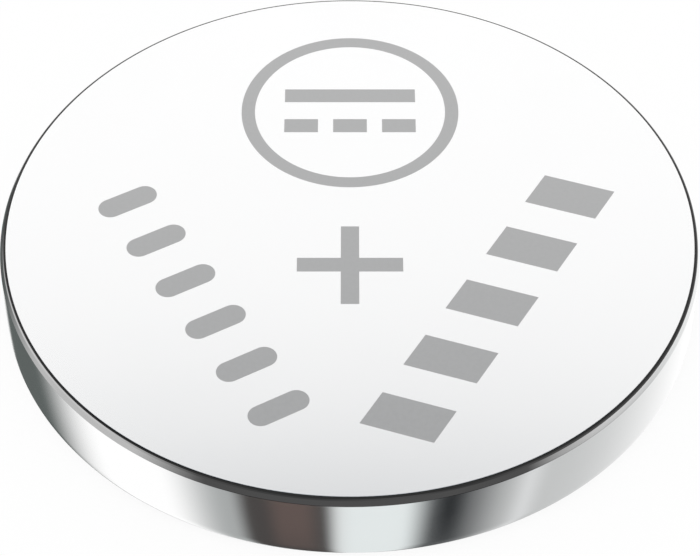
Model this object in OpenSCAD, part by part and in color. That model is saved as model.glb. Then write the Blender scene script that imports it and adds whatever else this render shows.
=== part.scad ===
// Lithium coin cell, 20 mm across and 2.5 mm high, lying with its flat positive face up.
// The origin is the middle of the negative face that it rests on, and Z is the cell's axis.

/* [Cell] */
// Outside diameter of the cell (mm)
cell_d = 20; // [19.5:0.5:24.5]
// Height over both faces (mm)
cell_h = 2.5; // [2.3:0.1:3.2]

/* [Positive can] */
// Thickness of the can's sheet (mm)
can_sheet = 0.25; // [0.2:0.01:0.3]
// Width of the slope between the flat face and the wall (mm)
face_bevel = 0.2; // [0.1:0.01:0.25]
// Rounding where the wall is rolled in under the cell (mm)
crimp_round = 0.1; // [0.05:0.01:0.15]

/* [Negative cap] */
// Thickness of the cap's sheet (mm)
cap_sheet = 0.25; // [0.2:0.01:0.3]
// How far the cap's face stands out below the rolled edge of the can (mm)
cap_stand = 0.25; // [0.15:0.01:0.3]
// Slope of the ring between the cap's face and its shoulder (degrees)
cap_slope = 45; // [40:1:50]
// Width of the cap's shoulder, from the top of the slope to the outside of the skirt (mm)
shoulder_w = 0.58; // [0.56:0.01:0.7]
// Inside radius of each bend in the cap (mm)
bend_r = 0.1; // [0.06:0.01:0.12]

/* [Gasket] */
// Thickness between the cap's skirt and the can's wall (mm)
gasket_wall = 0.55; // [0.45:0.01:0.65]
// Thickness between the cap's shoulder and the can's rolled edge (mm)
gasket_lip = 0.12; // [0.08:0.01:0.16]
// Thickness under the end of the cap's skirt (mm)
gasket_floor = 0.3; // [0.2:0.01:0.4]
// Thickness of the leg inside the cap's skirt (mm)
gasket_leg_t = 0.45; // [0.35:0.01:0.5]
// Length of the leg inside the cap's skirt (mm)
gasket_leg_h = 0.6; // [0.3:0.05:0.8]
// Width of the ring of gasket that shows round the cap (mm)
gasket_show = 0.2; // [0.1:0.01:0.3]
// Depth of that ring below the outside of the rolled edge (mm)
gasket_inset = 0.12; // [0.05:0.01:0.2]

/* [Contents] */
// Thickness of the lithium disc (mm)
lithium_t = 0.55; // [0.45:0.01:0.6]
// Gap between the lithium disc and the bend in the cap's floor (mm)
lithium_edge = 0.45; // [0.3:0.01:0.6]
// Thickness of the separator (mm)
separator_t = 0.15; // [0.1:0.01:0.18]
// Height of the separator's turned-up rim above its floor (mm)
separator_rim_h = 0.6; // [0.3:0.05:0.8]
// Gap between the separator's rim and the cathode pellet (mm)
separator_fit = 0.05; // [0.03:0.01:0.08]
// How far the cathode pellet reaches out past the lithium disc (mm)
cathode_overhang = 0.15; // [0.05:0.01:0.2]
// Thickness of the current collector (mm)
collector_t = 0.1; // [0.06:0.01:0.14]
// How far the current collector ends inside the cathode pellet's edge (mm)
collector_edge = 0.5; // [0.3:0.05:0.9]
// Width of the collector's rim and of each strand of its mesh (mm)
strand_w = 0.2; // [0.15:0.01:0.3]
// Distance between neighbouring strands (mm)
strand_pitch = 1.8; // [1.4:0.1:2.4]
// Angle of the strands to the X axis (degrees)
strand_angle = 30; // [20:1:40]

/* [Marks on the positive face] */
// Depth of the marks (mm)
mark_depth = 0.02; // [0.01:0.01:0.05]
// Outside diameter of the ring (mm)
ring_d = 6.47; // [5.8:0.01:6.6]
// Width of the ring's line (mm)
ring_line = 0.4; // [0.2:0.01:0.5]
// Distance of the ring from the edge of the flat face behind it (mm)
ring_margin = 1.73; // [1.2:0.01:1.8]
// Length of the long bar of the direct-current sign inside the ring (mm)
dc_bar_l = 3.9; // [3:0.1:4.2]
// Thickness of the sign's bars (mm)
dc_bar_t = 0.55; // [0.3:0.01:0.7]
// Gap between the sign's long bar and its dashes (mm)
dc_gap = 0.75; // [0.4:0.01:0.9]
// Gap between neighbouring dashes (mm)
dc_dash_gap = 0.45; // [0.3:0.01:0.6]
// Width and height of the plus sign (mm)
plus_l = 3; // [2:0.1:3.4]
// Thickness of the plus sign's arms (mm)
plus_t = 0.52; // [0.3:0.01:0.8]
// Distance from the ring's centre forward to the plus sign's centre (mm)
plus_step = 6.33; // [5.5:0.01:6.8]
// Number of rounded bars in the left row
bar_count = 6; // [4:1:6]
// Height of a rounded bar (mm)
bar_h = 1.8; // [1.2:0.1:2.2]
// Width of a rounded bar (mm)
bar_w = 0.72; // [0.4:0.01:1]
// Distance between neighbouring rounded bars (mm)
bar_pitch = 1.8; // [1.4:0.05:1.85]
// Distance of the left row's middle line from the edge of the flat face (mm)
bar_inset = 4.75; // [4.2:0.05:5]
// Shift of the left row along its own line (mm)
bar_shift = 0.42; // [-1:0.01:1]
// Number of slanted blocks in the right row
block_count = 5; // [3:1:5]
// Height of a slanted block (mm)
block_h = 2.05; // [1.6:0.05:2.3]
// Width of a slanted block (mm)
block_w = 1.25; // [0.8:0.05:1.5]
// Sideways lean of a slanted block over its height (mm)
block_lean = 0.4; // [0:0.05:0.7]
// Distance between neighbouring slanted blocks (mm)
block_pitch = 2.4; // [1.8:0.05:2.45]
// Distance of the right row's middle line from the edge of the flat face (mm)
block_inset = 4.9; // [4.6:0.05:5.1]
// Shift of the right row along its own line (mm)
block_shift = -0.58; // [-0.7:0.01:0.7]

/* [Hidden] */

// Facets of a full circle, and steps in a section's arc
$fn = 96;
arc_steps = 4;

// Directions of the two rows of marks, seen from the axis (degrees)
bar_row_angle = 210;
block_row_angle = 330;

// Can: inside radius, inside of its face, and lower and upper side of its rolled edge
cell_r = cell_d / 2;
can_in_r = cell_r - can_sheet;
can_in_z = cell_h - can_sheet;
face_r = cell_r - face_bevel;
crimp_low_z = cap_stand;
crimp_top_z = crimp_low_z + can_sheet;

// Cap: the skirt stands in the gasket, and the shoulder, slope and face follow inwards from it
bend_out_r = bend_r + cap_sheet;
skirt_r = can_in_r - gasket_wall;
skirt_in_r = skirt_r - cap_sheet;
skirt_end_z = can_in_z - gasket_floor;
shoulder_z = crimp_top_z + gasket_lip;
slope_top_r = skirt_r - shoulder_w;
cap_face_r = slope_top_r - shoulder_z / tan(cap_slope);
half_slope = cap_slope / 2;
face_bend_r = cap_face_r - bend_out_r * tan(half_slope);
slope_bend_r = slope_top_r + bend_r * tan(half_slope);

// Gasket: it starts just outside the bend at the foot of the shoulder
gasket_start = 0.04;
gasket_in_r = slope_bend_r + gasket_start;
crimp_in_r = gasket_in_r + gasket_show;
gasket_ring_z = crimp_low_z + gasket_inset;
leg_in_r = skirt_in_r - gasket_leg_t;
leg_end_z = skirt_end_z - gasket_leg_h;

// Contents, stacked upwards from the cap's floor to the can's face
lithium_z = cap_sheet;
lithium_r = face_bend_r - lithium_edge;
separator_z = lithium_z + lithium_t;
cathode_z = separator_z + separator_t;
cathode_r = lithium_r + cathode_overhang;
rim_in_r = cathode_r + separator_fit;
rim_out_r = rim_in_r + separator_t;
collector_z = can_in_z - collector_t;
collector_r = cathode_r - collector_edge;
strand_reach = ceil(collector_r / strand_pitch);

// Marks, placed from the edge of the flat face: ring and plus sign on Y, rows across their directions
ring_y = face_r - ring_margin - ring_d / 2;
plus_y = ring_y - plus_step;
bar_reach = face_r - bar_inset;
block_reach = face_r - block_inset;

// Points of an arc about centre c, from angle a to angle b
function arc(c, r, a, b) =
    [for (i = [0:arc_steps]) let (t = a + (b - a) * i / arc_steps) c + r * [cos(t), sin(t)]];

// Centres of the cap's three bends
face_bend = [face_bend_r, bend_out_r];
slope_bend = [slope_bend_r, shoulder_z - bend_r];
skirt_bend = [skirt_r - bend_out_r, shoulder_z + bend_out_r];

// Both sides of the cap's sheet, from the axis out to the end of the skirt and back
function cap_outside() = concat(
    [[0, 0]],
    arc(face_bend, bend_out_r, -90, cap_slope - 90),
    arc(slope_bend, bend_r, 90 + cap_slope, 90),
    arc(skirt_bend, bend_out_r, -90, 0),
    [[skirt_r, skirt_end_z]]);

function cap_inside() = concat(
    [[skirt_in_r, skirt_end_z]],
    arc(skirt_bend, bend_r, 0, -90),
    arc(slope_bend, bend_out_r, 90, 90 + cap_slope),
    arc(face_bend, bend_r, cap_slope - 90, -90),
    [[0, cap_sheet]]);

// Flat disc or washer
module washer(z, t, r, hole_r = 0) {
    translate([0, 0, z])
    difference() {
        cylinder(h = t, r = r);
        if (hole_r > 0)
            translate([0, 0, -t]) cylinder(h = 3 * t, r = hole_r);
    }
}

// Bar with round ends, lying along X
module round_bar(length, width) {
    square([length - width, width], center = true);
    for (side = [-1, 1])
        translate([side * (length - width) / 2, 0]) circle(d = width);
}

// Upright block that leans sideways over its height, which lies along X
module slanted_block() {
    half_h = block_h / 2;
    half_w = block_w / 2;
    half_lean = block_lean / 2;
    polygon([[-half_h, -half_w - half_lean], [half_h, -half_w + half_lean],
             [half_h, half_w + half_lean], [-half_h, half_w - half_lean]]);
}

// Copies of a mark, side by side on a straight line across the face
module mark_row(angle, reach, shift, count, pitch) {
    rotate(angle)
    translate([reach, shift])
    for (i = [0:count - 1])
        translate([0, (i - (count - 1) / 2) * pitch]) children();
}

module ring_mark() {
    translate([0, ring_y])
    difference() {
        circle(d = ring_d);
        circle(d = ring_d - 2 * ring_line);
    }
}

// Direct-current sign: a long bar over three dashes
module dc_mark() {
    dash_l = (dc_bar_l - 2 * dc_dash_gap) / 3;
    line_gap = dc_gap + dc_bar_t;
    translate([0, ring_y + line_gap / 2]) square([dc_bar_l, dc_bar_t], center = true);
    for (i = [-1:1])
        translate([i * (dash_l + dc_dash_gap), ring_y - line_gap / 2])
            square([dash_l, dc_bar_t], center = true);
}

module plus_mark() {
    translate([0, plus_y]) {
        square([plus_l, plus_t], center = true);
        square([plus_t, plus_l], center = true);
    }
}

module bar_marks() {
    mark_row(bar_row_angle, bar_reach, bar_shift, bar_count, bar_pitch)
        round_bar(bar_h, bar_w);
}

module block_marks() {
    mark_row(block_row_angle, block_reach, block_shift, block_count, block_pitch)
        slanted_block();
}

// All the marks, as solids that end flush with the positive face
module mark_solids() {
    translate([0, 0, cell_h - mark_depth])
    linear_extrude(mark_depth) {
        ring_mark();
        dc_mark();
        plus_mark();
        bar_marks();
        block_marks();
    }
}

// Stainless-steel can: flat face on top, straight wall, edge rolled in under the gasket
module positive_can() {
    color([0.9, 0.9, 0.91])
    difference() {
        rotate_extrude()
        polygon(concat(
            [[0, can_in_z], [0, cell_h], [face_r, cell_h], [cell_r, cell_h - face_bevel]],
            arc([cell_r - crimp_round, crimp_low_z + crimp_round], crimp_round, 0, -90),
            [[crimp_in_r, crimp_low_z], [crimp_in_r, crimp_top_z],
             [can_in_r, crimp_top_z], [can_in_r, can_in_z]]));
        mark_solids();
    }
}

// Plastic gasket: wraps the cap's skirt on both sides and shows as a thin ring round the cap
module gasket() {
    color([0.2, 0.21, 0.22])
    rotate_extrude()
    polygon(concat(
        [[gasket_in_r, gasket_ring_z], [crimp_in_r, gasket_ring_z], [crimp_in_r, crimp_top_z],
         [can_in_r, crimp_top_z], [can_in_r, can_in_z], [leg_in_r, can_in_z], [leg_in_r, leg_end_z],
         [skirt_in_r, leg_end_z], [skirt_in_r, skirt_end_z], [skirt_r, skirt_end_z]],
        arc(skirt_bend, bend_out_r, 0, -90),
        [[gasket_in_r, shoulder_z]]));
}

// Stainless-steel cap, the negative terminal that the cell rests on
module negative_cap() {
    color([0.84, 0.84, 0.85])
    rotate_extrude()
    polygon(concat(cap_outside(), cap_inside()));
}

module lithium_anode() {
    color([0.72, 0.73, 0.75]) washer(lithium_z, lithium_t, lithium_r);
}

// Non-woven separator, a shallow cup that the cathode pellet sits in
module separator() {
    color([0.95, 0.95, 0.93]) {
        washer(separator_z, separator_t, rim_out_r);
        washer(cathode_z, separator_rim_h, rim_out_r, rim_in_r);
    }
}

// Pressed manganese-dioxide pellet
module cathode_pellet() {
    color([0.13, 0.13, 0.14]) washer(cathode_z, collector_z - cathode_z, cathode_r);
}

// Expanded-metal disc between the pellet and the can's face
module current_collector() {
    color([0.6, 0.61, 0.62])
    translate([0, 0, collector_z])
    linear_extrude(collector_t) {
        difference() {
            circle(r = collector_r);
            circle(r = collector_r - strand_w);
        }
        intersection() {
            circle(r = collector_r - strand_w / 2);
            for (side = [-1, 1], i = [-strand_reach:strand_reach])
                rotate(side * strand_angle)
                translate([0, i * strand_pitch])
                square([2 * collector_r, strand_w], center = true);
        }
    }
}

// Grey marks on the positive face
module face_marks() {
    color([0.6, 0.6, 0.61]) mark_solids();
}

positive_can();
gasket();
negative_cap();
lithium_anode();
separator();
cathode_pellet();
current_collector();
face_marks();
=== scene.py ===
import math

import bmesh
import bpy
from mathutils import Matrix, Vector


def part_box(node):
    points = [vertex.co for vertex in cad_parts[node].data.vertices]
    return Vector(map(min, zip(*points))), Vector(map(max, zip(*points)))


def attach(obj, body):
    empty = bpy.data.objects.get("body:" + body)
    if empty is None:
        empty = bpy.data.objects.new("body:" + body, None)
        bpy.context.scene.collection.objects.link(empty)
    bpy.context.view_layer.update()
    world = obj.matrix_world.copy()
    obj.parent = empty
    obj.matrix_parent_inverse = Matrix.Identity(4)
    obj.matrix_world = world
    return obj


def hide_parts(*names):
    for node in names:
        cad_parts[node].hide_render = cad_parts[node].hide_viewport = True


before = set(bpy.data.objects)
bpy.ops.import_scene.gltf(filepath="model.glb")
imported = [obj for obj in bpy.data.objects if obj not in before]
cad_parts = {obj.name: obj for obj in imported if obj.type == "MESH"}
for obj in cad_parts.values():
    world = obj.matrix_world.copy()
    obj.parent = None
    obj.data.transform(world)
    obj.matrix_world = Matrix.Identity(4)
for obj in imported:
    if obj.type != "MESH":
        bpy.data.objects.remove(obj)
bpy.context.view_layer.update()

# Scale, and steps of a full turn, a section's arc, the wall's height and a bar's round end
MM = 0.001
TURN_STEPS = 512
ARC_STEPS = 6
WALL_STEPS = 12
BAR_END_STEPS = 24
# Strip of the flat beside a rounding, which keeps the rest of the flat shaded flat (mm)
SUPPORT = 0.012
# Edges that turn by more than this are shaded sharp (degrees)
SHARP_TURN = 30

# The can's own size, from the frame (mm)
CAN_LOW, CAN_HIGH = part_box("positive_can")
CELL_R = CAN_HIGH.x / MM
CELL_H = CAN_HIGH.z / MM
CRIMP_LOW = CAN_LOW.z / MM
CAP_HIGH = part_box("negative_cap")[1]
SKIRT_R = CAP_HIGH.x / MM
SKIRT_END = CAP_HIGH.z / MM
GASKET_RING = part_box("gasket")[0].z / MM

# Sheet of the can and the cap (mm)
SHEET = 0.25

# Can: height and width of the slope round the face, its upper and lower rounding, how far the wall
# stands out at mid height, and the roundings of the rolled edge (mm)
FACE_BEVEL = 0.2
EDGE_INSET = 0.108
EDGE_ROUND = 0.14
LOW_EDGE_ROUND = 0.035
WALL_BULGE = 0.015
CRIMP_ROUND = 0.1
CRIMP_LIP_ROUND = 0.05
FACE_R = CELL_R - FACE_BEVEL
CAN_IN_R = CELL_R - SHEET
CAN_IN_Z = CELL_H - SHEET
CRIMP_TOP = CRIMP_LOW + SHEET

# Tilts of the upper rounding's surface where the dark line begins and ends, and where the lip
# below the line ends (degrees). The line and the lip are steel with a painted reflection as their grey
LINE_START = 6
LINE_END = 36
LIP_END = 56

# Cap: bends, slope and shoulder (mm, degrees)
BEND_IN = 0.1
BEND_OUT = BEND_IN + SHEET
CAP_SLOPE = 45
SHOULDER_W = 0.58
GASKET_LIP = 0.12
SHOULDER_Z = CRIMP_TOP + GASKET_LIP
SLOPE_TOP_R = SKIRT_R - SHOULDER_W
HALF_SLOPE = math.tan(math.radians(CAP_SLOPE / 2))
CAP_FACE_R = SLOPE_TOP_R - SHOULDER_Z / math.tan(math.radians(CAP_SLOPE))
SLOPE_BEND_R = SLOPE_TOP_R + BEND_IN * HALF_SLOPE
SKIRT_IN_R = SKIRT_R - SHEET
SKIRT_BEND = (SKIRT_R - BEND_OUT, SHOULDER_Z + BEND_OUT)

# Gasket (mm)
GASKET_START = 0.04
GASKET_SHOW = 0.2
GASKET_LEG_T = 0.45
GASKET_LEG_H = 0.6
GASKET_IN_R = SLOPE_BEND_R + GASKET_START
CRIMP_IN_R = GASKET_IN_R + GASKET_SHOW

# Marks on the positive face: how far they stand above the dressed face, and how deep they go (mm)
MARK_STAND = 0.006
MARK_DEPTH = 0.02

# Ring, with its distance from the edge of the flat face, and the direct-current sign in it (mm)
RING_D = 6.47
RING_LINE = 0.4
RING_MARGIN = 1.73
RING_Y = FACE_R - RING_MARGIN - RING_D / 2
DC_BAR_L = 3.9
DC_BAR_T = 0.55
DC_GAP = 0.75
DC_DASH_GAP = 0.45

# Plus sign: its size, and how far it is in front of the ring's centre (mm)
PLUS_L = 3.0
PLUS_T = 0.52
PLUS_STEP = 6.33
PLUS_Y = RING_Y - PLUS_STEP

# Rows of bars and of blocks: size and pitch, distance of the row's middle line from the edge of the
# flat face, shift along that line, and its direction from the axis (mm, degrees)
BAR_COUNT = 6
BAR_H = 1.8
BAR_W = 0.72
BAR_PITCH = 1.8
BAR_INSET = 4.75
BAR_SHIFT = 0.42
BAR_ANGLE = 210
BLOCK_COUNT = 5
BLOCK_H = 2.05
BLOCK_W = 1.25
BLOCK_LEAN = 0.4
BLOCK_PITCH = 2.4
BLOCK_INSET = 4.9
BLOCK_SHIFT = -0.58
BLOCK_ANGLE = 330

# Floor: this far below the cap, so that the two faces don't coincide, and half its width (mm).
# It takes this share of its brightness from the light, and so of the cell's shadow.
FLOOR_GAP = 0.002
FLOOR_HALF = 500
SHADOW_SHARE = 0.1

# Camera: found from the outlines of the two rims in the photograph; it draws nothing nearer
# than CAMERA_NEAR (mm, degrees)
LENS_MM = 134.0
SENSOR_MM = 36.0
CAMERA_BACK = 51.98
CAMERA_ABOVE_FACE = 53.36
CAMERA_PITCH = 46.883
CAMERA_NEAR = 1

# Finish of the steels: share of broad clouds in the roughness, the rest of which is fine grain; the
# scale of the clouds and of the grain (1/m); and the tone of the duller clouds
CLOUD_SHARE = 0.6
CLOUD_SCALE = 260.0
GRAIN_SCALE = 26000.0
DULL_TONE = 0.985

# Depth of a fine and of a rough relief (mm)
FINE_BUMP = 0.002
ROUGH_BUMP = 0.01

# Span in which nearly all of a noise texture's values lie
NOISE_SPAN = (0.3, 0.7)

# Painted reflection round the rim: greys of the lip below the dark line and of the slope, dark
# over the front: heading in degrees (-90 is the front) and level
LIP_PAINTED_REFLECTION = [(-180, 0.06), (-168, 0.4), (-155, 0.55), (-130, 0.5), (-114, 0.068), (180, 0.045)]
SLOPE_PAINTED_REFLECTION = [(-180, 0.85), (-165, 0.6), (-145, 0.46), (-125, 0.46), (-113, 0.068),
               (-62, 0.07), (-57, 0.3), (-50, 0.5), (-40, 0.72), (-28, 0.97), (180, 0.85)]

# Brightness of the white studio that the steel reflects
STUDIO_LEVEL = 1.05

# Studio cards that streak the wall: colour, heading, half width and softness (degrees)
WALL_CARDS = [
    ((0.56, 0.57, 0.57), 318, 65, 90),
    ((0.73, 0.74, 0.745), 332, 3, 11),
    ((0.1, 0.105, 0.108), 298, 20, 26),
    ((0.4, 0.415, 0.415), 235, 19, 26),
    ((0.065, 0.06, 0.058), 249, 16, 8),
    ((0.79, 0.835, 0.835), 279.5, 13.5, 12),
    ((0.11, 0.125, 0.121), 139, 22, 38),
    ((0.11, 0.124, 0.12), 126, 14, 9),
]
# Lowest and highest elevation of those cards, and its softness (degrees)
WALL_REACH = (-120, -8, 10)

# Cards that also give a reach of their own: two small ones on the wall, two wide pale ones above
# the cell at its front, and the ceiling, which greys the near part of the face
OTHER_CARDS = [
    ((0.02, 0.022, 0.024), 303, 4, 8, -56, -14, 12),
    ((0.12, 0.09, 0.082), 251, 7, 8, -57, -14, 12),
    ((0.62, 0.63, 0.635), 252, 20, 34, 20, 80, 20),
    ((0.5, 0.51, 0.515), 306, 9, 18, 20, 80, 20),
    ((0.11, 0.14, 0.17), 100, 70, 60, 53.3, 72, 10),
]


def arc(centre, radius, start, end, steps=ARC_STEPS):
    """Points of an arc in the section plane, from angle start to angle end in degrees."""
    points = []
    for i in range(steps + 1):
        turn = math.radians(start + (end - start) * i / steps)
        points.append((centre[0] + radius * math.cos(turn), centre[1] + radius * math.sin(turn)))
    return points


def add_piece(name, mesh, nodes, materials):
    """Puts a finished mesh into the scene as the piece that stands for the CAD nodes."""
    piece = bpy.data.objects.new(name, mesh)
    bpy.context.scene.collection.objects.link(piece)
    for material in materials:
        mesh.materials.append(material)
    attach(piece, "root")
    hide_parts(*nodes)


def lathe_ring(bm, r, z):
    """The vertices of one section point, turned round the axis: a single one on the axis itself."""
    if r == 0:
        return [bm.verts.new((0, 0, z * MM))]
    ring = []
    for i in range(TURN_STEPS):
        turn = 2 * math.pi * i / TURN_STEPS
        ring.append(bm.verts.new((r * MM * math.cos(turn), r * MM * math.sin(turn), z * MM)))
    return ring


def lathe_band(bm, low, high, material_index):
    """Faces between two neighbouring rings; two points on the axis have none between them."""
    if len(low) == 1 and len(high) == 1:
        return
    for i in range(TURN_STEPS):
        j = (i + 1) % TURN_STEPS
        if len(low) == 1:
            corners = [low[0], high[i], high[j]]
        elif len(high) == 1:
            corners = [low[i], high[0], low[j]]
        else:
            corners = [low[i], high[i], high[j], low[j]]
        face = bm.faces.new(corners)
        face.smooth = True
        face.material_index = material_index


def lathe(name, profile, zones):
    """Closed solid of revolution of an (r, z, zone) section, with one material index for each zone."""
    bm = bmesh.new()
    rings = [lathe_ring(bm, r, z) for r, z, _ in profile]
    for k, (_, _, zone) in enumerate(profile):
        lathe_band(bm, rings[k], rings[(k + 1) % len(rings)], zones.index(zone))
    bmesh.ops.recalc_face_normals(bm, faces=bm.faces)
    mesh = bpy.data.meshes.new(name)
    bm.to_mesh(mesh)
    bm.free()
    mesh.set_sharp_from_angle(angle=math.radians(SHARP_TURN))
    return mesh


def zoned(points, zone):
    """Section points with the zone of the surface that starts at each of them."""
    return [(r, z, zone) for r, z in points]


def can_section():
    """The can's section: flat face, slope, wall and rolled edge, then back along its inside."""
    top = CELL_H - MARK_STAND
    end_r = CELL_R - WALL_BULGE
    tilt = math.degrees(math.atan2(FACE_BEVEL, EDGE_INSET))
    turn = EDGE_ROUND * math.tan(math.radians(tilt / 2))
    low_turn = LOW_EDGE_ROUND * math.tan(math.radians(45 - tilt / 2))
    edge_centre = (end_r - EDGE_INSET - turn, top - EDGE_ROUND)
    low_centre = (end_r - LOW_EDGE_ROUND, top - FACE_BEVEL - low_turn)
    crimp_centre = (end_r - CRIMP_ROUND, CRIMP_LOW + CRIMP_ROUND)
    lip_centre = (CRIMP_IN_R + CRIMP_LIP_ROUND, CRIMP_LOW + CRIMP_LIP_ROUND)
    return (
        zoned([(0, top), (edge_centre[0] - SUPPORT, top)], "face")
        + zoned(arc(edge_centre, EDGE_ROUND, 90, 90 - LINE_START)[:-1], "face")
        # The dark line on the rounding, whose steel carries a painted reflection
        + zoned(arc(edge_centre, EDGE_ROUND, 90 - LINE_START, 90 - LINE_END)[:-1], "line")
        + zoned(arc(edge_centre, EDGE_ROUND, 90 - LINE_END, 90 - LIP_END)[:-1], "lip")
        + zoned(arc(edge_centre, EDGE_ROUND, 90 - LIP_END, 90 - tilt), "slope")
        + zoned(arc(low_centre, LOW_EDGE_ROUND, 90 - tilt, 0)[:-1], "slope")
        + zoned(wall_points(low_centre[1], crimp_centre[1]), "wall")
        + zoned(arc(crimp_centre, CRIMP_ROUND, 0, -90), "wall")
        + zoned([(crimp_centre[0] - SUPPORT, CRIMP_LOW), (lip_centre[0] + SUPPORT, CRIMP_LOW)], "under")
        + zoned(arc(lip_centre, CRIMP_LIP_ROUND, -90, -180), "under")
        + zoned([(CRIMP_IN_R, CRIMP_TOP), (CAN_IN_R, CRIMP_TOP)], "under")
        + zoned([(CAN_IN_R, CAN_IN_Z), (0, CAN_IN_Z)], "under")
    )


def wall_points(high, low):
    """The wall between its two rounded ends, which stands out a little at mid height."""
    middle, half = (high + low) / 2, (high - low) / 2
    points = []
    for i in range(WALL_STEPS):
        z = high + (low - high) * i / WALL_STEPS
        points.append((CELL_R - WALL_BULGE * ((z - middle) / half) ** 2, z))
    return points


def cap_section():
    """The cap's section: face, slope, shoulder and skirt on the outside, then back along its inside."""
    face_bend = (CAP_FACE_R - BEND_OUT * HALF_SLOPE, BEND_OUT)
    slope_bend = (SLOPE_BEND_R, SHOULDER_Z - BEND_IN)
    outside = (
        [(0, 0), (face_bend[0] - SUPPORT, 0)]
        + arc(face_bend, BEND_OUT, -90, CAP_SLOPE - 90)
        + arc(slope_bend, BEND_IN, 90 + CAP_SLOPE, 90)
        + arc(SKIRT_BEND, BEND_OUT, -90, 0)
        + [(SKIRT_R, SKIRT_END)]
    )
    inside = (
        [(SKIRT_IN_R, SKIRT_END)]
        + arc(SKIRT_BEND, BEND_IN, 0, -90)
        + arc(slope_bend, BEND_OUT, 90, 90 + CAP_SLOPE)
        + arc(face_bend, BEND_IN, CAP_SLOPE - 90, -90)
        + [(0, SHEET)]
    )
    return zoned(outside + inside, "cap")


def gasket_section():
    """The gasket's section: the ring that shows, the outer leg, the floor and the inner leg."""
    leg_in_r = SKIRT_IN_R - GASKET_LEG_T
    leg_end = SKIRT_END - GASKET_LEG_H
    points = (
        [(GASKET_IN_R, GASKET_RING), (CRIMP_IN_R, GASKET_RING), (CRIMP_IN_R, CRIMP_TOP),
         (CAN_IN_R, CRIMP_TOP), (CAN_IN_R, CAN_IN_Z), (leg_in_r, CAN_IN_Z), (leg_in_r, leg_end),
         (SKIRT_IN_R, leg_end), (SKIRT_IN_R, SKIRT_END), (SKIRT_R, SKIRT_END)]
        + arc(SKIRT_BEND, BEND_OUT, 0, -90)
        + [(GASKET_IN_R, SHOULDER_Z)]
    )
    return zoned(points, "gasket")


def box_outline(x, y, width, height):
    """Four corners of an upright rectangle round a centre."""
    left, right = x - width / 2, x + width / 2
    low, high = y - height / 2, y + height / 2
    return [(left, low), (right, low), (right, high), (left, high)]


def plus_outline():
    """Twelve corners of the plus sign, a quarter turn at a time."""
    long, short = PLUS_L / 2, PLUS_T / 2
    points = []
    for quarter in range(4):
        turn = math.radians(90 * quarter)
        for x, y in ((long, -short), (long, short), (short, short)):
            points.append((x * math.cos(turn) - y * math.sin(turn),
                           x * math.sin(turn) + y * math.cos(turn) + PLUS_Y))
    return points


def bar_outline():
    """Bar with round ends, lying along X."""
    radius = BAR_W / 2
    reach = BAR_H / 2 - radius
    right_end = arc((reach, 0), radius, -90, 90, BAR_END_STEPS)
    left_end = arc((-reach, 0), radius, 90, 270, BAR_END_STEPS)
    return right_end + left_end


def block_outline():
    """Block that leans sideways over its height, which lies along X."""
    half_h, half_w, half_lean = BLOCK_H / 2, BLOCK_W / 2, BLOCK_LEAN / 2
    return [(-half_h, -half_w - half_lean), (half_h, -half_w + half_lean),
            (half_h, half_w + half_lean), (-half_h, half_w - half_lean)]


def row_outlines(outline, angle, inset, shift, count, pitch):
    """Copies of an outline, side by side on a straight line across the face."""
    reach = FACE_R - inset
    turn = math.radians(angle)
    copies = []
    for i in range(count):
        along = shift + (i - (count - 1) / 2) * pitch
        copies.append([((x + reach) * math.cos(turn) - (y + along) * math.sin(turn),
                        (x + reach) * math.sin(turn) + (y + along) * math.cos(turn)) for x, y in outline])
    return copies


def mark_outlines():
    """Every mark but the ring."""
    dash_l = (DC_BAR_L - 2 * DC_DASH_GAP) / 3
    line_gap = DC_GAP + DC_BAR_T
    outlines = [box_outline(0, RING_Y + line_gap / 2, DC_BAR_L, DC_BAR_T), plus_outline()]
    for i in (-1, 0, 1):
        outlines.append(box_outline(i * (dash_l + DC_DASH_GAP), RING_Y - line_gap / 2, dash_l, DC_BAR_T))
    bars = row_outlines(bar_outline(), BAR_ANGLE, BAR_INSET, BAR_SHIFT, BAR_COUNT, BAR_PITCH)
    blocks = row_outlines(block_outline(), BLOCK_ANGLE, BLOCK_INSET, BLOCK_SHIFT, BLOCK_COUNT,
                          BLOCK_PITCH)
    return outlines + bars + blocks


def add_prism(bm, outline):
    """Thin plate of an outline, from inside the can's sheet up to the top of the marks."""
    levels = []
    for z in (CELL_H - MARK_DEPTH, CELL_H):
        levels.append([bm.verts.new((x * MM, y * MM, z * MM)) for x, y in outline])
    low, high = levels
    bm.faces.new(list(reversed(low)))
    bm.faces.new(high)
    for i in range(len(outline)):
        j = (i + 1) % len(outline)
        bm.faces.new([low[i], low[j], high[j], high[i]])


def add_ring(bm):
    """Thin flat ring round the direct-current sign."""
    steps = TURN_STEPS // 2
    corners = ((RING_D / 2, CELL_H - MARK_DEPTH), (RING_D / 2, CELL_H),
               (RING_D / 2 - RING_LINE, CELL_H), (RING_D / 2 - RING_LINE, CELL_H - MARK_DEPTH))
    loops = []
    for r, z in corners:
        loop = []
        for i in range(steps):
            turn = 2 * math.pi * i / steps
            loop.append(bm.verts.new((r * MM * math.cos(turn), (r * math.sin(turn) + RING_Y) * MM, z * MM)))
        loops.append(loop)
    for k, loop in enumerate(loops):
        following = loops[(k + 1) % len(loops)]
        for i in range(steps):
            j = (i + 1) % steps
            bm.faces.new([loop[i], loop[j], following[j], following[i]])


def marks_mesh():
    """All the marks on the positive face as one mesh."""
    bm = bmesh.new()
    add_ring(bm)
    for outline in mark_outlines():
        add_prism(bm, outline)
    bmesh.ops.recalc_face_normals(bm, faces=bm.faces)
    mesh = bpy.data.meshes.new("marks")
    bm.to_mesh(mesh)
    bm.free()
    return mesh


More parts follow.
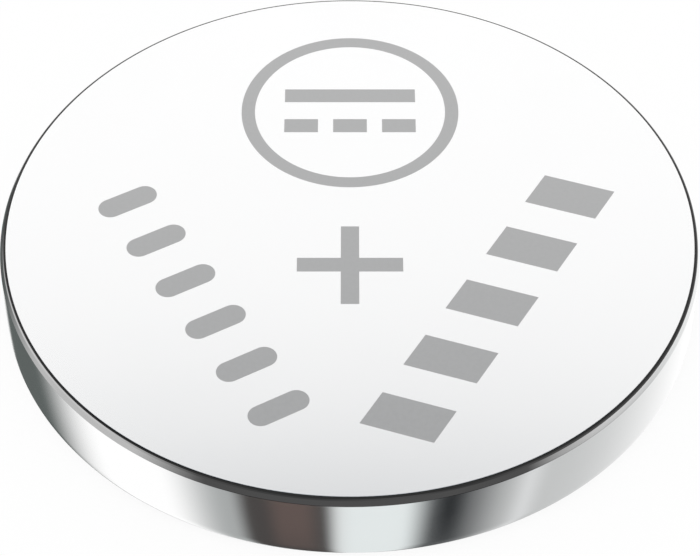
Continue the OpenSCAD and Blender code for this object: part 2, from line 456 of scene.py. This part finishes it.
class Nodes:
    """Short calls for building a node tree."""

    def __init__(self, tree):
        self.tree = tree
        tree.nodes.clear()

    def add(self, kind, **settings):
        node = self.tree.nodes.new(kind)
        for key, value in settings.items():
            setattr(node, key, value)
        return node

    def link(self, source, target):
        self.tree.links.new(source, target)

    def feed(self, value, socket):
        if isinstance(value, bpy.types.NodeSocket):
            self.link(value, socket)
        else:
            socket.default_value = value

    def math(self, operation, first, second=0.0):
        node = self.add("ShaderNodeMath", operation=operation)
        self.feed(first, node.inputs[0])
        self.feed(second, node.inputs[1])
        return node.outputs[0]

    def remap(self, value, from_low, from_high, to_low=0.0, to_high=1.0):
        node = self.add("ShaderNodeMapRange", interpolation_type="SMOOTHSTEP")
        for socket, setting in zip(node.inputs, (value, from_low, from_high, to_low, to_high)):
            self.feed(setting, socket)
        return node.outputs[0]

    def spread(self, noise, low=0.0, high=1.0):
        """A noise texture's value, stretched to run from low to high."""
        return self.remap(noise, *NOISE_SPAN, low, high)

    def blend(self, amount, first, second):
        """Colour that goes from first to second as amount goes from 0 to 1.

        The node has its colours at inputs 6 and 7, and hands back a colour at output 2.
        """
        node = self.add("ShaderNodeMix", data_type="RGBA")
        self.feed(amount, node.inputs[0])
        self.feed(first, node.inputs[6])
        self.feed(second, node.inputs[7])
        return node.outputs[2]

    def noise(self, vector, scale, detail=3.0, roughness=0.5):
        node = self.add("ShaderNodeTexNoise")
        self.feed(vector, node.inputs["Vector"])
        self.feed(scale, node.inputs["Scale"])
        self.feed(detail, node.inputs["Detail"])
        self.feed(roughness, node.inputs["Roughness"])
        return node.outputs["Fac"]


def new_material(name):
    """A material with one Principled shader; hands back the material, its nodes and the shader."""
    material = bpy.data.materials.new(name)
    material.use_nodes = True
    nodes = Nodes(material.node_tree)
    shader = nodes.add("ShaderNodeBsdfPrincipled")
    output = nodes.add("ShaderNodeOutputMaterial")
    nodes.link(shader.outputs["BSDF"], output.inputs["Surface"])
    return material, nodes, shader


def grey(level, warmth=0.0):
    """Opaque grey; warmth above 0 leans to red and below 0 to blue."""
    return (level * (1 + warmth), level, level * (1 - warmth), 1.0)


def position(nodes):
    """The place of a point on the piece itself."""
    return nodes.add("ShaderNodeTexCoord").outputs["Object"]


def split_position(nodes):
    """The three coordinates of that place."""
    split = nodes.add("ShaderNodeSeparateXYZ")
    nodes.link(position(nodes), split.inputs[0])
    return split.outputs


def around_axis(nodes, stretch):
    """Coordinates (radius, angle, height) about the cell's axis, with the angle squeezed for long grain."""
    x, y, z = split_position(nodes)
    squares = nodes.math("ADD", nodes.math("MULTIPLY", x, x), nodes.math("MULTIPLY", y, y))
    radius = nodes.math("SQRT", squares)
    angle = nodes.math("MULTIPLY", nodes.math("ARCTAN2", y, x), CELL_R * MM / stretch)
    joined = nodes.add("ShaderNodeCombineXYZ")
    for value, socket in zip((radius, angle, z), joined.inputs):
        nodes.link(value, socket)
    return joined.outputs[0]


def add_bump(nodes, shader, height, strength, depth):
    """Fine relief of a depth in mm."""
    bump = nodes.add("ShaderNodeBump")
    bump.inputs["Strength"].default_value = strength
    bump.inputs["Distance"].default_value = depth * MM
    nodes.link(height, bump.inputs["Height"])
    nodes.link(bump.outputs["Normal"], shader.inputs["Normal"])


def steel_finish(nodes, shader, roughness, spread, grain, bump):
    """Cloudy roughness and fine grain round the axis; hands back the clouds, from 0 to 1.

    grain is how much longer the grain is round the axis than across it.
    """
    shader.inputs["Metallic"].default_value = 1.0
    clouds = nodes.noise(position(nodes), CLOUD_SCALE, 4.0)
    lines = nodes.noise(around_axis(nodes, grain), GRAIN_SCALE, 2.0)
    mixed = nodes.math("ADD", nodes.math("MULTIPLY", clouds, CLOUD_SHARE),
                       nodes.math("MULTIPLY", lines, 1 - CLOUD_SHARE))
    nodes.link(nodes.spread(mixed, roughness - spread, roughness + spread), shader.inputs["Roughness"])
    add_bump(nodes, shader, lines, bump, FINE_BUMP)
    return nodes.spread(clouds)


def steel(name, level, **finish):
    """Stainless steel with a very slight unevenness in its tone."""
    material, nodes, shader = new_material(name)
    clouds = steel_finish(nodes, shader, **finish)
    tone = nodes.blend(clouds, grey(level * DULL_TONE), grey(level))
    nodes.link(tone, shader.inputs["Base Color"])
    return material


def rim_steel_painted_reflection(name, tones):
    """Steel of a narrow band round the face, whose grey changes with the heading round the rim: a painted
    reflection, dark over the front.
    """
    material, nodes, shader = new_material(name)
    steel_finish(nodes, shader, roughness=0.13, spread=0.015, grain=20.0, bump=0.05)
    x, y, _ = split_position(nodes)
    heading = nodes.math("ARCTAN2", y, x)
    ramp = nodes.add("ShaderNodeValToRGB")
    nodes.link(nodes.math("ADD", nodes.math("DIVIDE", heading, 2 * math.pi), 0.5), ramp.inputs[0])
    stops = ramp.color_ramp.elements
    while len(stops) < len(tones):
        stops.new(0.5)
    for stop, (angle, level) in zip(stops, tones):
        stop.position = angle / 360 + 0.5
        stop.color = grey(level)
    nodes.link(ramp.outputs[0], shader.inputs["Base Color"])
    return material


def mark_tint():
    """Grey tint on the steel: the face's own sheen, held down by the tint's colour."""
    material, nodes, shader = new_material("mark_tint")
    shader.inputs["Metallic"].default_value = 1.0
    speckle = nodes.noise(position(nodes), 9000.0, 2.0)
    nodes.link(nodes.blend(nodes.spread(speckle), grey(0.49), grey(0.51)), shader.inputs["Base Color"])
    nodes.link(nodes.spread(speckle, 0.3, 0.36), shader.inputs["Roughness"])
    add_bump(nodes, shader, speckle, 0.08, FINE_BUMP)
    return material


def moulded_plastic():
    """Near-black plastic of the gasket, with a faint cloudiness."""
    material, nodes, shader = new_material("moulded_plastic")
    place = position(nodes)
    fine = nodes.noise(place, 5200.0, 3.0)
    tone = nodes.spread(nodes.noise(place, 700.0))
    nodes.link(nodes.blend(tone, grey(0.026), grey(0.034)), shader.inputs["Base Color"])
    nodes.link(nodes.spread(fine, 0.38, 0.5), shader.inputs["Roughness"])
    add_bump(nodes, shader, fine, 0.2, 2 * FINE_BUMP)
    return material


def lithium_foil():
    """Dull silver metal with patches of tarnish."""
    material, nodes, shader = new_material("lithium_foil")
    shader.inputs["Metallic"].default_value = 1.0
    place = position(nodes)
    tarnish = nodes.remap(nodes.noise(place, 420.0, 6.0, 0.6), 0.35, 0.7)
    nodes.link(nodes.blend(tarnish, grey(0.52, -0.02), grey(0.38, 0.03)), shader.inputs["Base Color"])
    nodes.link(nodes.remap(tarnish, 0.0, 1.0, 0.35, 0.6), shader.inputs["Roughness"])
    add_bump(nodes, shader, nodes.noise(place, 2600.0), 0.2, ROUGH_BUMP)
    return material


def separator_fleece():
    """White non-woven plastic with long fibres."""
    material, nodes, shader = new_material("separator_fleece")
    place = position(nodes)
    fibres = nodes.noise(around_axis(nodes, 6.0), 9000.0, 5.0, 0.7)
    nodes.link(nodes.blend(fibres, grey(0.78, 0.01), grey(0.92, 0.01)), shader.inputs["Base Color"])
    shader.inputs["Roughness"].default_value = 0.85
    add_bump(nodes, shader, nodes.math("ADD", fibres, nodes.noise(place, 12000.0)), 0.5, ROUGH_BUMP)
    return material


def pressed_powder():
    """Dull black powder with a fine grain."""
    material, nodes, shader = new_material("pressed_powder")
    grains = nodes.noise(position(nodes), 14000.0, 6.0, 0.7)
    nodes.link(nodes.blend(grains, grey(0.006), grey(0.022)), shader.inputs["Base Color"])
    shader.inputs["Roughness"].default_value = 0.8
    add_bump(nodes, shader, grains, 0.5, ROUGH_BUMP)
    return material


def give_material(node, material):
    """Sets a CAD node's own finish; its shape stays as it is."""
    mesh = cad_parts[node].data
    mesh.materials.clear()
    mesh.materials.append(material)


def build_can():
    """The can, whose zones each have a steel of their own; the line, lip and slope carry painted reflection
    in their greys.
    """
    steels = {
        "face": steel("can_face_steel", 0.97, roughness=0.18, spread=0.015, grain=1.0, bump=0.02),
        # The dark line round the face: painted reflection, a near-black steel standing in for what the
        # rounded edge reflects
        "line": steel("can_line_painted_reflection", 0.032, roughness=0.25, spread=0.02, grain=4.0, bump=0.05),
        # Lip and slope: steel whose grey round the rim is a painted reflection, dark over the front
        "lip": rim_steel_painted_reflection("can_lip_painted_reflection", LIP_PAINTED_REFLECTION),
        "slope": rim_steel_painted_reflection("can_slope_painted_reflection", SLOPE_PAINTED_REFLECTION),
        "wall": steel("can_wall_steel", 0.96, roughness=0.09, spread=0.015, grain=30.0, bump=0.04),
        "under": steel("can_under_steel", 0.72, roughness=0.24, spread=0.03, grain=20.0, bump=0.08),
    }
    mesh = lathe("can_shell", can_section(), list(steels))
    add_piece("can_shell", mesh, ["positive_can"], steels.values())


def build_cell():
    """The dressed pieces, and the finishes of the four CAD nodes inside."""
    build_can()
    cap = lathe("cap_shell", cap_section(), ["cap"])
    cap_steel = steel("cap_steel", 0.66, roughness=0.26, spread=0.04, grain=12.0, bump=0.1)
    add_piece("cap_shell", cap, ["negative_cap"], [cap_steel])
    gasket = lathe("gasket_ring", gasket_section(), ["gasket"])
    add_piece("gasket_ring", gasket, ["gasket"], [moulded_plastic()])
    add_piece("face_tint", marks_mesh(), ["face_marks"], [mark_tint()])
    give_material("lithium_anode", lithium_foil())
    give_material("separator", separator_fleece())
    give_material("cathode_pellet", pressed_powder())
    collector_steel = steel("collector_steel", 0.6, roughness=0.35, spread=0.05, grain=2.0, bump=0.2)
    give_material("current_collector", collector_steel)


class Studio:
    """The studio that polished steel reflects, painted by direction on the world."""

    def __init__(self, nodes):
        self.nodes = nodes
        direction = nodes.add("ShaderNodeTexCoord").outputs["Generated"]
        split = nodes.add("ShaderNodeSeparateXYZ")
        nodes.link(direction, split.inputs[0])
        self.elevation = nodes.math("ARCSINE", split.outputs[2])
        level = nodes.add("ShaderNodeCombineXYZ")
        nodes.link(split.outputs[0], level.inputs[0])
        nodes.link(split.outputs[1], level.inputs[1])
        unit = nodes.add("ShaderNodeVectorMath", operation="NORMALIZE")
        nodes.link(level.outputs[0], unit.inputs[0])
        self.heading = unit.outputs[0]

    def across(self, azimuth, half_width, soft):
        """1 within half_width degrees of an azimuth, fading to 0 over soft degrees."""
        nodes = self.nodes
        turn = math.radians(azimuth)
        dot = nodes.add("ShaderNodeVectorMath", operation="DOT_PRODUCT")
        nodes.link(self.heading, dot.inputs[0])
        dot.inputs[1].default_value = (math.cos(turn), math.sin(turn), 0.0)
        away = nodes.math("ARCCOSINE", dot.outputs["Value"])
        inner = math.radians(half_width - soft / 2)
        outer = math.radians(half_width + soft / 2)
        return nodes.remap(away, inner, outer, 1.0, 0.0)

    def between(self, low, high, soft):
        """1 between two elevations in degrees, fading to 0 over soft degrees."""
        nodes = self.nodes
        half = soft / 2
        above = nodes.remap(self.elevation, math.radians(low - half), math.radians(low + half))
        below = nodes.remap(self.elevation, math.radians(high - half), math.radians(high + half), 1.0, 0.0)
        return nodes.math("MULTIPLY", above, below)

    def card(self, behind, colour, azimuth, half_width, soft, low, high, soft_up):
        """A soft-edged card of one colour in front of what is behind it."""
        colour = (*colour, 1.0)
        shape = self.nodes.math("MULTIPLY", self.across(azimuth, half_width, soft),
                                self.between(low, high, soft_up))
        return self.nodes.blend(shape, behind, colour)


def studio_colour(nodes):
    """White studio with a few grey and dark cards: those below the horizon streak the cell's wall."""
    studio = Studio(nodes)
    colour = grey(STUDIO_LEVEL)
    for card in WALL_CARDS:
        colour = studio.card(colour, *card, *WALL_REACH)
    for card in OTHER_CARDS:
        colour = studio.card(colour, *card)
    return colour


def build_world():
    """White for the camera, even white light for plain surfaces, and the studio for reflections."""
    world = bpy.data.worlds.new("studio")
    world.use_nodes = True
    bpy.context.scene.world = world
    nodes = Nodes(world.node_tree)
    light_path = nodes.add("ShaderNodeLightPath")
    studio = studio_colour(nodes)
    seen = nodes.blend(light_path.outputs["Is Glossy Ray"], grey(1.0), studio)
    background = nodes.add("ShaderNodeBackground")
    nodes.link(seen, background.inputs["Color"])
    output = nodes.add("ShaderNodeOutputWorld")
    nodes.link(background.outputs[0], output.inputs["Surface"])


def floor_material():
    """Pale floor that keeps a light share of the cell's shadow.

    Mirrors look past it into the studio, and it is clear from below.
    """
    material = bpy.data.materials.new("pale_floor")
    material.use_nodes = True
    nodes = Nodes(material.node_tree)
    light_path = nodes.add("ShaderNodeLightPath")
    lit = nodes.add("ShaderNodeBsdfDiffuse")
    lit.inputs["Color"].default_value = grey(1.0)
    glow = nodes.add("ShaderNodeEmission")
    glow.inputs["Color"].default_value = grey(1.0)
    pale = nodes.add("ShaderNodeMixShader")
    pale.inputs[0].default_value = SHADOW_SHARE
    nodes.link(glow.outputs[0], pale.inputs[1])
    nodes.link(lit.outputs[0], pale.inputs[2])
    clear = nodes.add("ShaderNodeBsdfTransparent")
    seen = nodes.add("ShaderNodeMixShader")
    from_below = nodes.add("ShaderNodeNewGeometry").outputs["Backfacing"]
    nodes.link(nodes.math("MAXIMUM", light_path.outputs["Is Glossy Ray"], from_below), seen.inputs[0])
    nodes.link(pale.outputs[0], seen.inputs[1])
    nodes.link(clear.outputs[0], seen.inputs[2])
    output = nodes.add("ShaderNodeOutputMaterial")
    nodes.link(seen.outputs[0], output.inputs["Surface"])
    return material


def build_floor():
    """A square floor just below the cell, which is stage and not part of it."""
    half = FLOOR_HALF * MM
    z = -FLOOR_GAP * MM
    mesh = bpy.data.meshes.new("floor")
    corners = [(-half, -half, z), (half, -half, z), (half, half, z), (-half, half, z)]
    mesh.from_pydata(corners, [], [(0, 1, 2, 3)])
    mesh.materials.append(floor_material())
    floor = bpy.data.objects.new("floor", mesh)
    bpy.context.scene.collection.objects.link(floor)


def build_camera():
    """The photograph's camera, in front of the cell and above it."""
    camera = bpy.data.cameras.new("camera")
    camera.lens = LENS_MM
    camera.sensor_width = SENSOR_MM
    camera.clip_start = CAMERA_NEAR * MM
    holder = bpy.data.objects.new("camera", camera)
    holder.location = (0, -CAMERA_BACK * MM, (CELL_H + CAMERA_ABOVE_FACE) * MM)
    holder.rotation_euler = (math.radians(90 - CAMERA_PITCH), 0, 0)
    bpy.context.scene.collection.objects.link(holder)
    bpy.context.scene.camera = holder


build_camera()
build_world()
build_floor()
build_cell()
bpy.context.scene.view_settings.view_transform = "Standard"
